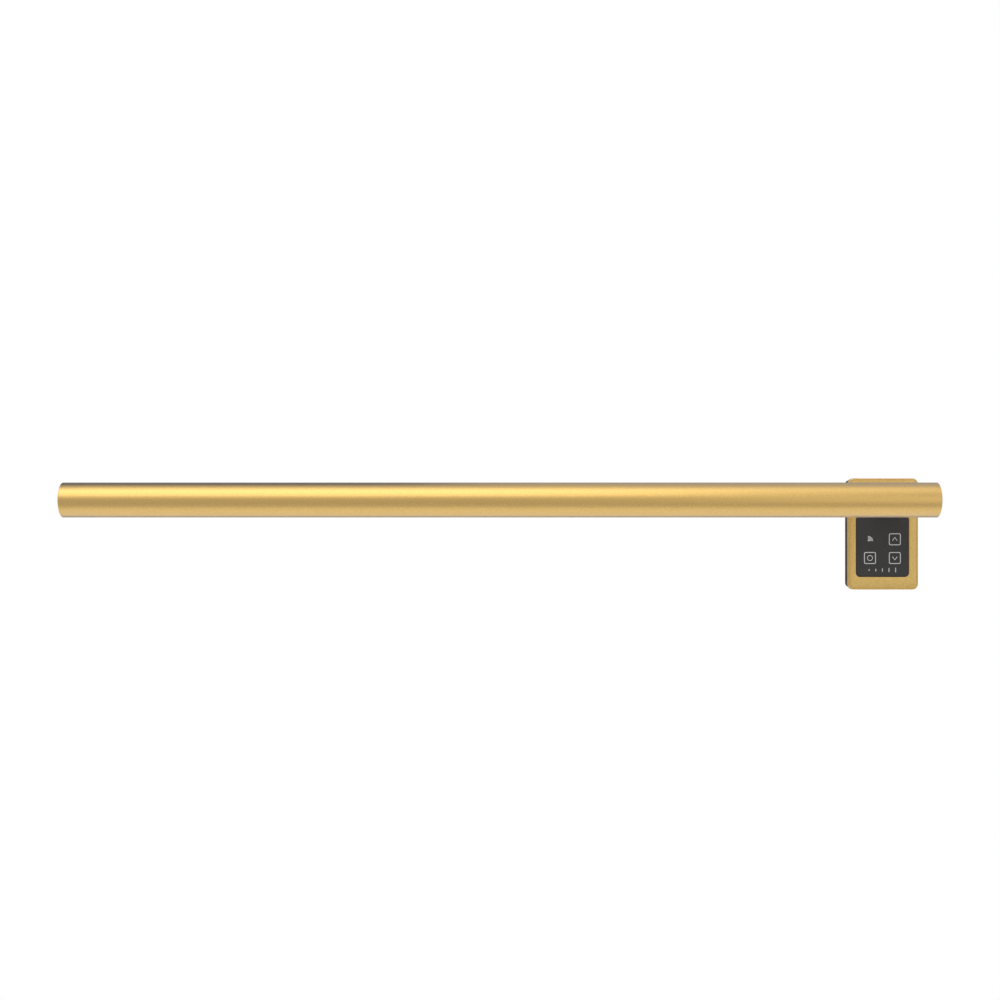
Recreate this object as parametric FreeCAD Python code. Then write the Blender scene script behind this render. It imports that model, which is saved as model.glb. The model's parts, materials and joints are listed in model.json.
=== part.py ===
"""Single-bar towel warmer: a heated tube on two wall posts, with a touch controller behind its right end.

The frame has +X to the right, +Y into the wall and +Z up, in millimetres. The origin is on the wall plane,
midway between the two main wall screws, at the height of the bar's axis. The towel side faces -Y.
"""

import FreeCAD
import Part

import math
import os

V = FreeCAD.Vector
X_AXIS, Y_AXIS, Z_AXIS = V(1, 0, 0), V(0, 1, 0), V(0, 0, 1)
NEAR = 1e-6

# ---- Bar: stainless tube with inset end caps
BAR_LENGTH = 800.0
BAR_RADIUS = 16.0
BAR_WALL = 1.2
BAR_INNER = BAR_RADIUS - BAR_WALL
BAR_Y = -75.0  # the bar's axis stands this far in front of the wall
BAR_EDGE = 0.6  # rounding of the tube's two ends
CAP_DEPTH = 6.0
CAP_RADIUS = BAR_INNER - 0.05
CAP_CHAMFER = 0.35
CAP_WALL = 3.0  # around the hollow in the plug's inner face
CAP_HOLLOW = 2.0
RING_DEPTH = 1.2  # of the sealing ring's groove
RING_WIDTH = 1.8
RING_SLACK = 0.05

# ---- Control box: gold cover in front, black housing behind, wall plate inside the housing's skirt
BOX_WIDTH = 67.2
BOX_HEIGHT = 106.5
BOX_DEPTH = 17.5
BOX_RIGHT = BAR_LENGTH / 2  # the box ends flush with the bar
BOX_LEFT = BOX_RIGHT - BOX_WIDTH
BOX_TOP = 20.7
BOX_BOTTOM = BOX_TOP - BOX_HEIGHT
BOX_CORNER = 5.5
COVER_DEPTH = 4.5
COVER_FACE = 2.2
COVER_ROUNDING = 1.1
COVER_GROOVE_INSET = 1.15  # a fine line pressed into the face, just inside its rounded edge
COVER_GROOVE_WIDTH = 0.8
COVER_GROOVE_DEPTH = 0.6
HOUSING_INSET = 1.5
HOUSING_WALL = 2.0
HOUSING_FLOOR = 2.0
WALL_GAP = 0.4  # the housing's skirt stops this far short of the wall
PLATE_THICKNESS = 3.0
FIT_GAP = 0.2
SKIRT_GAP = 0.3
SMALLEST_CORNER = 1.0
GASKET_INSET = 0.5  # from the housing's outside
GASKET_WIDTH = 1.0
GASKET_DEPTH = 0.8

# Planes of the box, from the room towards the wall
FACE_Y = -BOX_DEPTH
COVER_BACK_Y = FACE_Y + COVER_FACE
RIM_Y = FACE_Y + COVER_DEPTH
FLOOR_BACK_Y = -PLATE_THICKNESS - FIT_GAP
FLOOR_Y = FLOOR_BACK_Y - HOUSING_FLOOR

# ---- Touch panel, set into the cover
PANEL_WIDTH = 50.8
PANEL_TOP = -15.0
PANEL_BOTTOM = -73.6
PANEL_SHIFT = -0.6  # the panel sits this far left of the box's middle
PANEL_CORNER = 4.2
PANEL_RECESS = 0.6
PANEL_THICKNESS = 1.5
PANEL_GAP = 0.1
TAPE = 0.2
LEDGE = 1.2
LEDGE_WIDTH = 2.0
PANEL_X = (BOX_LEFT + BOX_RIGHT) / 2 + PANEL_SHIFT
PANEL_Y = FACE_Y + PANEL_RECESS
PANEL_BACK_Y = PANEL_Y + PANEL_THICKNESS
LEDGE_Y = PANEL_BACK_Y + TAPE
LEDGE_BACK_Y = LEDGE_Y + LEDGE

# ---- Marks printed on the panel
PRINT = 0.06
LINE = 0.68  # of the keys' frames
SIGN_LINE = 0.55  # of the signs inside them
LINK_LINE = 0.6
KEY_SIZE = 11.25
KEY_CORNER = 1.5
KEY_PITCH_X = 23.8
KEY_PITCH_Z = 17.9
KEYS_X = PANEL_X + 0.1  # middle of the two columns
LOW_KEYS_Z = -55.5
HIGH_KEYS_Z = LOW_KEYS_Z + KEY_PITCH_Z
LEFT_KEYS_X = KEYS_X - KEY_PITCH_X / 2
RIGHT_KEYS_X = KEYS_X + KEY_PITCH_X / 2
KEY_PLACES = ((LEFT_KEYS_X, LOW_KEYS_Z), (RIGHT_KEYS_X, LOW_KEYS_Z), (RIGHT_KEYS_X, HIGH_KEYS_Z))
RING_RADIUS = 2.4
CHEVRON_HALF = 2.15
CHEVRON_TIP = 1.8  # from the key's middle
CHEVRON_FOOT = 1.1
LINK_DOT = 0.85
LINK_ARCS = (2.45, 3.5, 4.55)
LINK_CORNER = 0.75  # from the dot's middle back to the arcs' own, both ways
LINK_X, LINK_Z = LEFT_KEYS_X - 1.15, HIGH_KEYS_Z - 1.0
LEVELS = 5
LEVEL_PITCH = 6.34
LEVEL_WIDTH = 0.7
LEVEL_CORNER = 0.21
LEVEL_SHORTEST = 1.7
LEVEL_STEP = 0.68
LEVEL_Z = -67.0

# ---- Posts between wall and bar
POST_X = (BOX_LEFT + BOX_RIGHT) / 2
POST_RADIUS = 13.0
POST_BORE = 9.5
POST_WEB_Y = -48.0  # the solid nose of each post starts here
SADDLE_GAP = 0.05
POST_WALL_GAP = 0.3
SPIGOT_RADIUS = 11.5
SEAL_WIDTH = 2.0
SEAL_DEPTH = 0.5
WINDOW_HALF = 7.4  # where the leads leave the right post's bore
WINDOW_BACK = 14.8
WINDOW_RIM = 0.6
THREAD_GAP = 0.05
SCREW_GAP = 0.2  # around a screw that only passes through

# ---- Left wall boss
BOSS_RADIUS = 9.4
BOSS_LENGTH = 14.0
BOSS_GROOVE_Y = -7.0
BOSS_GROOVE = 0.6
BOSS_GROOVE_ROUND = 1.5
WALL_SCREW_RADIUS = 2.6
SINK_RADIUS = 5.0
GRUB_RADIUS = 2.0
GRUB_TIP = 0.3
GRUB_TIP_LENGTH = 1.45
GRUB_SUNK = 0.4  # below the post's surface
GRUB_SOCKET = (1.0, 1.4)  # radius, depth

# ---- Bar fixings
LEFT_BOLT_RADIUS = 4.0
LEFT_BOLT_HEAD = (6.5, 8.0)  # radius, height
LEFT_BOLT_SOCKET = (3.46, 4.0)  # from its middle to a corner, depth
HOLLOW_BOLT_RADIUS = 7.0
HOLLOW_BOLT_BORE = 5.0
HOLLOW_BOLT_HEAD = (9.0, 4.0)
HOLLOW_BOLT_SLOT = (3.0, 2.0)  # width, depth
BOLT_REACH = 19.0  # shank length from the web
NUT_FLAT_Y = -66.5
NUT_HALF_LENGTH = 12.0
NUT_HALF_HEIGHT = 11.0
NUT_SLACK = 0.1

# ---- Post flange, screwed through the housing floor to a nut plate
FLANGE_HALF = 16.8
FLANGE_THICKNESS = 3.0
FLANGE_CORNER = 3.0
NUT_PLATE_THICKNESS = 2.0
NUT_PLATE_INSET = 0.5  # inside the flange's outline
NUT_PLATE_GAP = 0.1
FLANGE_PAD = 2.2  # how far the floor is raised over the nut plate
FLANGE_PAD_MARGIN = 0.5
FLANGE_POCKET_INSET = 0.4
FLANGE_Y = FLOOR_Y - FLANGE_PAD  # wall side of the flange
FLANGE_FRONT_Y = FLANGE_Y - FLANGE_THICKNESS
FLANGE_SCREWS = 12.6  # each screw's offset from the post's axis, both ways
FLANGE_SCREW_RADIUS = 2.0
FLANGE_SCREW_HEAD = (3.8, 2.2)
CLEAR_HOLE = 8.0  # room around the main wall screw's head
LOWER_SCREWS_Z = -66.0
LOWER_SCREWS_SPAN = 36.0
PLATE_SINK = (4.6, 2.0)  # of its wall screws' heads: radius, depth

# ---- The socket in a pan head, as shares of the head's radius and height
DRIVE_WIDTH = 0.45
DRIVE_FOOT = 0.4

# ---- Cover screws and lock screws
PILLAR_RADIUS = 3.0
PILLAR_INSET = 5.0  # from the housing's inner wall
PILLAR_DROP = 1.0  # the lower pair stands this much nearer the wall below
PILLAR_WALL = 1.5
COVER_SCREW_RADIUS = 1.5
COVER_SCREW_HEAD = (2.7, 1.8)
COVER_SCREW_LENGTH = 6.5
HEAD_RECESS = 2.2
LOCK_X = (-15.5, 15.5)
LOCK_Y = -6.0
LOCK_RADIUS = 1.5
LOCK_HEAD = (2.6, 1.3)
LOCK_LENGTH = 8.5
LOCK_SOCKET = (1.1, 0.8)
LUG_HALF = 4.0
LUG_HEIGHT = 6.0
LUG_FRONT_Y = -9.0
LUG_POCKET_WALL = 1.5
LUG_GAP = 0.3

# ---- Control board
BOARD_TOP = -26.0
BOARD_BOTTOM = -74.0
BOARD_SIDE_GAP = 1.7
BOARD_THICKNESS = 1.4
BOARD_Y = LEDGE_BACK_Y + 1.8  # room side of the board
BOARD_BACK_Y = BOARD_Y + BOARD_THICKNESS
BOARD_SCREW_INSET = 3.0
BOARD_SCREW_RADIUS = 1.0
BOARD_SCREW_HEAD = (1.9, 1.2)
BOARD_SCREW_LENGTH = 5.0
BOARD_POST_RADIUS = 2.5

# ---- What stands on the control board: width, height, thickness
LAMP_SIZE = (1.6, 0.9, 0.7)
LINK_LAMP = 1.6  # the wireless sign's lamp, from its dot, both ways
WELL_MARGIN = 4.4
WELL_HEIGHT = 6.2
WELL_OPENING = (2.4, 4.8)
LINK_WELL = 7.4
WELL_WALL = 0.8
WELL_GAP = 0.1
PAD_RADIUS = 4.2
PAD_HOLE = 1.6
RADIO_X = KEYS_X + 0.6
RADIO_SIZE = (13.6, 15.0, 0.8)
RADIO_Z = -34.5
SHIELD_SIZE = (12.0, 10.0, 2.0)
SHIELD_Z = -36.5
SHIELD_WALL = 0.3
LOGIC_SIZE = (7.0, 7.0, 1.2)
LOGIC_Z = -55.5
TRANSISTOR_SIZE = (6.6, 6.1, 2.3)
TRANSISTOR_PLACES = (18.0, (-40.0, -49.0))  # from the post's axis, then each one's height
CHOKE_SIZE = (8.0, 8.0, 4.0)
CHOKE_PLACE = (17.0, -60.0)
CHOKE_CHAMFER = 1.2
CAPACITOR_SIZE = (3.15, 5.0)  # radius, height
CAPACITOR_PLACES = (-21.0, (-36.5, -44.0))
BOARD_FUSE_SIZE = (2.6, 6.1, 2.6)
BOARD_FUSE_PLACE = (-12.0, -44.0)

# ---- Supply inlet
INLET_Z = -50.0
INLET_BORE = 3.0
INLET_HOLE = 5.5
INLET_LIP = 7.5
INLET_PLATE_HOLE = 9.0
INLET_FLANGE = 1.2
INLET_SQUEEZE = 0.02

# ---- Heating element on the bar's axis
ELEMENT_RADIUS = 4.0
ELEMENT_WALL = 0.5
ELEMENT_LEFT = -385.0
ELEMENT_RIGHT = 320.0
ELEMENT_PLUG = 2.0  # thickness of the sheath's closed left end
PIN_SPACING = 3.0
PIN_RADIUS = 0.6
PIN_INSIDE = 40.0
PIN_OUTSIDE = 9.0
BUSH_INSIDE = 6.0
BUSH_OUTSIDE = 3.0
CRIMP_RADIUS = 1.4
CRIMP_START = 4.0
CRIMP_LENGTH = 5.0
SPACER_STATIONS = (-300.0, -150.0, 0.0, 150.0, 285.0)
SPACER_WIDTH = 8.0
SPACER_HUB = 2.0
SPACER_ARM = 3.0
SPACER_SLACK = (0.03, 0.05)  # on the element, in the tube

# ---- Temperature sensor and thermal fuse, between the element and the right post
SENSOR_RADIUS = 2.1
SENSOR_LEFT, SENSOR_RIGHT = 332.0, 344.0
SENSOR_Z = -12.5
SENSOR_PAD_LEFT, SENSOR_PAD_RIGHT = 331.0, 345.0
SENSOR_PAD_HALF = 3.5
SENSOR_PAD_TOP = -11.8
FUSE_RADIUS = 1.6
FUSE_LEFT, FUSE_RIGHT = 336.0, 346.0

# ---- Leads, from the element through the hollow bolt and the right post to the board
LEAD_RADIUS = 1.3
SENSOR_LEAD_RADIUS = 1.1
LEAD_BEND_Y = BAR_Y + 7.5  # middle of the leads' shared bend
LEAD_PITCH = 5.5  # between the leads where they enter the board's terminals
LEAD_DROP_Y = -12.5
LEAD_GAP = 0.1  # around a lead in its terminal
LEAD_BENDS = (12.0, 8.0, 3.6, 4.6, 3.8)  # after the shared bend
SLEEVE_SLACK = 0.1
SLEEVE_WALL = 0.7
SLEEVE_LENGTH = 24.0
TERMINAL_Y = -8.3
TERMINAL_Z = -28.0
TERMINAL_SHORT = 7.6
TERMINAL_TALL = 5.0
TERMINAL_ENDS = 0.6
TERMINAL_BITE = 5.0
HEATER_TERMINAL_Z = TERMINAL_Z - TERMINAL_SHORT / 2
SUPPLY_TERMINAL_X = POST_X - 20.0
SUPPLY_TERMINAL_Z = INLET_Z - 6.0
SUPPLY_PITCH = 5.0
SOCKET_SIZE = (4.6, 5.0, 4.0)
SOCKET_BITE = 3.0


def block(x0, x1, y0, y1, z0, z1):
    return Part.makeBox(x1 - x0, y1 - y0, z1 - z0, V(x0, y0, z0))


def rod(radius, start, axis, length):
    return Part.makeCylinder(radius, length, start, axis)


def tube(outer, inner, start, axis, length):
    return rod(outer, start, axis, length).cut(rod(inner, start, axis, length))


def along_wall(radius, x, z, y0, y1):
    """A cylinder square to the wall, from plane y0 to plane y1."""
    return rod(radius, V(x, y0, z), Y_AXIS, y1 - y0)


def rounded_plate(x0, x1, z0, z1, corner, y0, y1):
    """A plate in the wall's plane with four rounded corners."""
    wide = block(x0 + corner, x1 - corner, y0, y1, z0, z1)
    tall = block(x0, x1, y0, y1, z0 + corner, z1 - corner)
    plate = wide.fuse(tall)
    for x in (x0 + corner, x1 - corner):
        for z in (z0 + corner, z1 - corner):
            plate = plate.fuse(along_wall(corner, x, z, y0, y1))
    return plate.removeSplitter()


def box_outline(inset, y0, y1):
    """The box's outline, taken in by inset on every side."""
    return rounded_plate(
        BOX_LEFT + inset,
        BOX_RIGHT - inset,
        BOX_BOTTOM + inset,
        BOX_TOP - inset,
        max(BOX_CORNER - inset, SMALLEST_CORNER),
        y0,
        y1,
    )


def panel_outline(grow, y0, y1):
    """The touch panel's outline, grown by grow on every side."""
    return rounded_plate(
        PANEL_X - PANEL_WIDTH / 2 - grow,
        PANEL_X + PANEL_WIDTH / 2 + grow,
        PANEL_BOTTOM - grow,
        PANEL_TOP + grow,
        PANEL_CORNER + grow,
        y0,
        y1,
    )


def edges_on_plane(shape, y):
    """Every edge of shape that lies in the plane at y."""
    ends_in = [e for e in shape.Edges if all(abs(v.Y - y) < NEAR for v in e.Vertexes)]
    return [e for e in ends_in if abs(e.CenterOfMass.y - y) < NEAR]


def screw(head, radius, length, x, z, seat_y, towards):
    """A pan-head screw seated on plane seat_y, its shank running towards -1 (the room) or 1 (the wall)."""
    head_radius, head_height = head
    cap = along_wall(head_radius, x, z, seat_y, seat_y + head_height)
    shank = along_wall(radius, x, z, seat_y - length, seat_y)
    foot, top = seat_y + head_height * DRIVE_FOOT, seat_y + head_height
    drive = along_wall(head_radius * DRIVE_WIDTH, x, z, foot, top)
    made = cap.fuse(shank).cut(drive)
    if towards > 0:
        made = made.mirror(V(x, seat_y, z), Y_AXIS)
    return made


def inner_half_width():
    """From the box's middle to the housing's inner wall."""
    return BOX_WIDTH / 2 - HOUSING_INSET - HOUSING_WALL


def pillar_places():
    """Where the cover's four screw pillars stand."""
    reach = inner_half_width() - PILLAR_INSET
    top = BOX_TOP - HOUSING_INSET - HOUSING_WALL - PILLAR_INSET
    bottom = BOX_BOTTOM + HOUSING_INSET + HOUSING_WALL + PILLAR_INSET - PILLAR_DROP
    return [(POST_X + side * reach, z) for side in (-1, 1) for z in (bottom, top)]


def board_edges():
    half = inner_half_width() - BOARD_SIDE_GAP
    return POST_X - half, POST_X + half


def board_screw_places():
    left, right = board_edges()
    low, high = BOARD_BOTTOM + BOARD_SCREW_INSET, BOARD_TOP - BOARD_SCREW_INSET
    xs = (left + BOARD_SCREW_INSET, right - BOARD_SCREW_INSET)
    return [(x, z) for x in xs for z in (low, high)]


def flange_screw_places():
    return [(POST_X + i * FLANGE_SCREWS, j * FLANGE_SCREWS) for i in (-1, 1) for j in (-1, 1)]


# ---------------------------------------------------------------- bar


def bar_tube():
    outside = rod(BAR_RADIUS, V(-BAR_LENGTH / 2, BAR_Y, 0), X_AXIS, BAR_LENGTH)
    rims = [e for e in outside.Edges if e.Closed]
    outside = outside.makeFillet(BAR_EDGE, rims)
    bar = outside.cut(rod(BAR_INNER, V(-BAR_LENGTH / 2, BAR_Y, 0), X_AXIS, BAR_LENGTH))
    for x, radius in ((-POST_X, LEFT_BOLT_RADIUS), (POST_X, HOLLOW_BOLT_RADIUS)):
        bar = bar.cut(along_wall(radius + SCREW_GAP, x, 0, BAR_Y, BAR_Y + BAR_RADIUS + 1))
    return bar


def end_cap(side):
    """A plug pressed into the tube, flush with its end, with a groove for its sealing ring."""
    end = side * BAR_LENGTH / 2
    inner = end - side * CAP_DEPTH
    cap = rod(CAP_RADIUS, V(min(end, inner), BAR_Y, 0), X_AXIS, CAP_DEPTH)
    groove_at = V((end + inner - RING_WIDTH) / 2, BAR_Y, 0)
    groove = tube(CAP_RADIUS + 1, CAP_RADIUS - RING_DEPTH, groove_at, X_AXIS, RING_WIDTH)
    hollow_at = V(min(inner, inner + side * CAP_HOLLOW), BAR_Y, 0)
    hollow = rod(CAP_RADIUS - CAP_WALL, hollow_at, X_AXIS, CAP_HOLLOW)
    cap = cap.cut(groove).cut(hollow)
    rim = [e for e in cap.Edges if e.Closed and abs(e.CenterOfMass.x - end) < NEAR]
    return cap.makeChamfer(CAP_CHAMFER, rim)


def end_cap_rings():
    rings = []
    width = RING_WIDTH - 2 * RING_SLACK
    inner = CAP_RADIUS - RING_DEPTH + RING_SLACK
    for side in (-1, 1):
        middle = side * (BAR_LENGTH - CAP_DEPTH) / 2
        rings.append(tube(CAP_RADIUS, inner, V(middle - width / 2, BAR_Y, 0), X_AXIS, width))
    return rings


def element_sheath():
    length = ELEMENT_RIGHT - ELEMENT_LEFT
    outside = rod(ELEMENT_RADIUS, V(ELEMENT_LEFT, BAR_Y, 0), X_AXIS, length)
    inside_at = V(ELEMENT_LEFT + ELEMENT_PLUG, BAR_Y, 0)
    return outside.cut(rod(ELEMENT_RADIUS - ELEMENT_WALL, inside_at, X_AXIS, length - ELEMENT_PLUG))


def pin_ys():
    return BAR_Y - PIN_SPACING / 2, BAR_Y + PIN_SPACING / 2


def element_core():
    left, right = ELEMENT_LEFT + ELEMENT_PLUG, ELEMENT_RIGHT - BUSH_INSIDE
    core = rod(ELEMENT_RADIUS - ELEMENT_WALL, V(left, BAR_Y, 0), X_AXIS, right - left)
    for y in pin_ys():
        core = core.cut(rod(PIN_RADIUS, V(ELEMENT_RIGHT - PIN_INSIDE, y, 0), X_AXIS, PIN_INSIDE))
    return core


def element_bush():
    length = BUSH_INSIDE + BUSH_OUTSIDE
    bush = rod(ELEMENT_RADIUS - ELEMENT_WALL, V(ELEMENT_RIGHT - BUSH_INSIDE, BAR_Y, 0), X_AXIS, length)
    for y in pin_ys():
        bush = bush.cut(rod(PIN_RADIUS, V(ELEMENT_RIGHT - BUSH_INSIDE, y, 0), X_AXIS, length))
    return bush


def element_pins():
    start = ELEMENT_RIGHT - PIN_INSIDE
    return [rod(PIN_RADIUS, V(start, y, 0), X_AXIS, PIN_INSIDE + PIN_OUTSIDE) for y in pin_ys()]


def lead_crimps():
    """Crimp sleeves that join the element's pins to the leads."""
    start = ELEMENT_RIGHT + CRIMP_START
    return [tube(CRIMP_RADIUS, PIN_RADIUS, V(start, y, 0), X_AXIS, CRIMP_LENGTH) for y in pin_ys()]


def element_spacers():
    """Three-armed aluminium spacers that hold the element in the middle and carry its heat to the tube."""
    on_element, in_tube = SPACER_SLACK
    reach = BAR_INNER - in_tube
    spacers = []
    for x in SPACER_STATIONS:
        left = x - SPACER_WIDTH / 2
        star = rod(ELEMENT_RADIUS + SPACER_HUB, V(left, BAR_Y, 0), X_AXIS, SPACER_WIDTH)
        for k in range(3):
            front, back = BAR_Y - SPACER_ARM / 2, BAR_Y + SPACER_ARM / 2
            arm = block(left, left + SPACER_WIDTH, front, back, 0, reach + 1)
            arm.rotate(V(x, BAR_Y, 0), X_AXIS, 120 * k)
            star = star.fuse(arm)
        star = star.common(rod(reach, V(left, BAR_Y, 0), X_AXIS, SPACER_WIDTH))
        star = star.cut(rod(ELEMENT_RADIUS + on_element, V(left, BAR_Y, 0), X_AXIS, SPACER_WIDTH))
        spacers.append(star.removeSplitter())
    return spacers


def temperature_sensor():
    return rod(SENSOR_RADIUS, V(SENSOR_LEFT, BAR_Y, SENSOR_Z), X_AXIS, SENSOR_RIGHT - SENSOR_LEFT)


def sensor_pad():
    """Heat-conducting adhesive that beds the sensor on the tube's wall."""
    front, back = BAR_Y - SENSOR_PAD_HALF, BAR_Y + SENSOR_PAD_HALF
    pad = block(SENSOR_PAD_LEFT, SENSOR_PAD_RIGHT, front, back, -BAR_INNER, SENSOR_PAD_TOP)
    length = SENSOR_PAD_RIGHT - SENSOR_PAD_LEFT
    pad = pad.common(rod(BAR_INNER, V(SENSOR_PAD_LEFT, BAR_Y, 0), X_AXIS, length))
    lead_way = rod(SENSOR_LEAD_RADIUS + THREAD_GAP, V(SENSOR_PAD_LEFT, BAR_Y, SENSOR_Z), X_AXIS, length)
    return pad.cut(temperature_sensor()).cut(lead_way)


def thermal_fuse():
    return rod(FUSE_RADIUS, V(FUSE_LEFT, BAR_Y - PIN_SPACING / 2, 0), X_AXIS, FUSE_RIGHT - FUSE_LEFT)


def saddle_nut(x, radius, half_length):
    """A curved nut inside the tube that the bar's bolt pulls against the tube's wall."""
    left, right = x - half_length, x + half_length
    nut = rod(BAR_INNER - NUT_SLACK, V(left, BAR_Y, 0), X_AXIS, right - left)
    keep = block(left, right, NUT_FLAT_Y, BAR_Y + BAR_RADIUS, -NUT_HALF_HEIGHT, NUT_HALF_HEIGHT)
    return nut.common(keep).cut(along_wall(radius + THREAD_GAP, x, 0, BAR_Y, BAR_Y + BAR_RADIUS))


def left_bar_bolt():
    radius, height = LEFT_BOLT_HEAD
    corner, depth = LEFT_BOLT_SOCKET
    top = POST_WEB_Y + height
    bolt = along_wall(radius, -POST_X, 0, POST_WEB_Y, top)
    bolt = bolt.fuse(along_wall(LEFT_BOLT_RADIUS, -POST_X, 0, POST_WEB_Y - BOLT_REACH, POST_WEB_Y))
    turns = [k * math.pi / 3 for k in range(7)]
    corners = [V(-POST_X + corner * math.cos(a), top - depth, corner * math.sin(a)) for a in turns]
    return bolt.cut(Part.Face(Part.makePolygon(corners)).extrude(V(0, depth + 1, 0)))


def hollow_bar_bolt():
    """The bored bolt that the leads pass through, turned by a slot across its head."""
    radius, height = HOLLOW_BOLT_HEAD
    slot_width, slot_depth = HOLLOW_BOLT_SLOT
    top, tip = POST_WEB_Y + height, POST_WEB_Y - BOLT_REACH
    bolt = along_wall(radius, POST_X, 0, POST_WEB_Y, top)
    bolt = bolt.fuse(along_wall(HOLLOW_BOLT_RADIUS, POST_X, 0, tip, POST_WEB_Y))
    bolt = bolt.cut(along_wall(HOLLOW_BOLT_BORE, POST_X, 0, tip, top))
    half = slot_width / 2
    return bolt.cut(block(POST_X - half, POST_X + half, top - slot_depth, top, -radius, radius))


# ---------------------------------------------------------------- posts and wall fixings


def post_blank(x, back_y):
    """A turned post with a bore from behind and a nose coped to the tube."""
    post = along_wall(POST_RADIUS, x, 0, BAR_Y, back_y)
    cope_at = V(x - POST_RADIUS - 1, BAR_Y, 0)
    post = post.cut(rod(BAR_RADIUS + SADDLE_GAP, cope_at, X_AXIS, 2 * POST_RADIUS + 2))
    return post.cut(along_wall(POST_BORE, x, 0, POST_WEB_Y, back_y))


def left_post():
    post = post_blank(-POST_X, -POST_WALL_GAP)
    post = post.cut(along_wall(LEFT_BOLT_RADIUS + SCREW_GAP, -POST_X, 0, BAR_Y, POST_WEB_Y + 1))
    thread = rod(GRUB_RADIUS + THREAD_GAP, V(-POST_X, BOSS_GROOVE_Y, -POST_RADIUS - 1), Z_AXIS, POST_RADIUS)
    return post.cut(thread)


def right_post():
    """Like the left post, with a spigot for its flange and a window where the leads leave its bore."""
    post = post_blank(POST_X, FLANGE_Y)
    post = post.cut(along_wall(HOLLOW_BOLT_RADIUS + SCREW_GAP, POST_X, 0, BAR_Y, POST_WEB_Y + 1))
    seat = V(POST_X, FLANGE_FRONT_Y, 0)
    post = post.cut(tube(POST_RADIUS + 1, SPIGOT_RADIUS, seat, Y_AXIS, FLANGE_THICKNESS + 1))
    left, right = POST_X - WINDOW_HALF, POST_X + WINDOW_HALF
    return post.cut(block(left, right, -WINDOW_BACK, FLANGE_FRONT_Y - WINDOW_RIM, -POST_RADIUS - 1, 0))


def left_wall_boss():
    """The stud plate screwed to the wall, which the left post slides over."""
    boss = along_wall(BOSS_RADIUS, -POST_X, 0, -BOSS_LENGTH, 0)
    boss = boss.cut(along_wall(WALL_SCREW_RADIUS, -POST_X, 0, -BOSS_LENGTH, 0))
    sink_depth = SINK_RADIUS - WALL_SCREW_RADIUS
    front = V(-POST_X, -BOSS_LENGTH, 0)
    boss = boss.cut(Part.makeCone(SINK_RADIUS, WALL_SCREW_RADIUS, sink_depth, front, Y_AXIS))
    groove_radius = BOSS_RADIUS - BOSS_GROOVE + BOSS_GROOVE_ROUND
    return boss.cut(Part.makeTorus(groove_radius, BOSS_GROOVE_ROUND, V(-POST_X, BOSS_GROOVE_Y, 0), Y_AXIS))


def left_grub_screw():
    socket_radius, socket_depth = GRUB_SOCKET
    foot, tip = GRUB_SUNK - POST_RADIUS, -(BOSS_RADIUS - BOSS_GROOVE + THREAD_GAP)
    shoulder = tip - GRUB_TIP_LENGTH
    grub = rod(GRUB_RADIUS, V(-POST_X, BOSS_GROOVE_Y, foot), Z_AXIS, shoulder - foot)
    point = Part.makeCone(GRUB_RADIUS, GRUB_TIP, GRUB_TIP_LENGTH, V(-POST_X, BOSS_GROOVE_Y, shoulder), Z_AXIS)
    return grub.fuse(point).cut(rod(socket_radius, V(-POST_X, BOSS_GROOVE_Y, foot), Z_AXIS, socket_depth))


def flange_outline(grow, y0, y1):
    """The flange's square outline around the right post, grown by grow on every side."""
    half = FLANGE_HALF + grow
    return rounded_plate(POST_X - half, POST_X + half, -half, half, FLANGE_CORNER, y0, y1)


def post_flange():
    flange = flange_outline(0, FLANGE_FRONT_Y, FLANGE_Y)
    flange = flange.cut(along_wall(SPIGOT_RADIUS, POST_X, 0, FLANGE_FRONT_Y, FLANGE_Y))
    for x, z in flange_screw_places():
        flange = flange.cut(along_wall(FLANGE_SCREW_RADIUS + SCREW_GAP, x, z, FLANGE_FRONT_Y, FLANGE_Y))
    return flange


def flange_screws():
    length = FLANGE_THICKNESS + HOUSING_FLOOR + NUT_PLATE_THICKNESS
    made = [(FLANGE_SCREW_HEAD, FLANGE_SCREW_RADIUS, length, x, z) for x, z in flange_screw_places()]
    return [screw(*sizes, FLANGE_FRONT_Y, 1) for sizes in made]


def nut_plate():
    """The steel plate behind the housing floor that takes the flange screws."""
    back = FLOOR_BACK_Y - NUT_PLATE_GAP
    front = back - NUT_PLATE_THICKNESS
    plate = flange_outline(-NUT_PLATE_INSET, front, back)
    plate = plate.cut(along_wall(CLEAR_HOLE, POST_X, 0, front, back))
    for x, z in flange_screw_places():
        plate = plate.cut(along_wall(FLANGE_SCREW_RADIUS + THREAD_GAP, x, z, front, back))
    return plate


def lower_screw_places():
    return [(POST_X + side * LOWER_SCREWS_SPAN / 2, LOWER_SCREWS_Z) for side in (-1, 1)]


def lock_lug(x, grow):
    """A lug of the wall plate, or with grow the room that the housing leaves for it."""
    bottom = BOX_BOTTOM + HOUSING_INSET + HOUSING_WALL + SKIRT_GAP
    low, high = bottom - min(grow, SKIRT_GAP), bottom + LUG_HEIGHT + grow
    half = LUG_HALF + grow
    return block(x - half, x + half, LUG_FRONT_Y - grow, 0, low, high)


def lock_places():
    """Where the two lock screws stand, left and right."""
    return [POST_X + x for x in LOCK_X]


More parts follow.
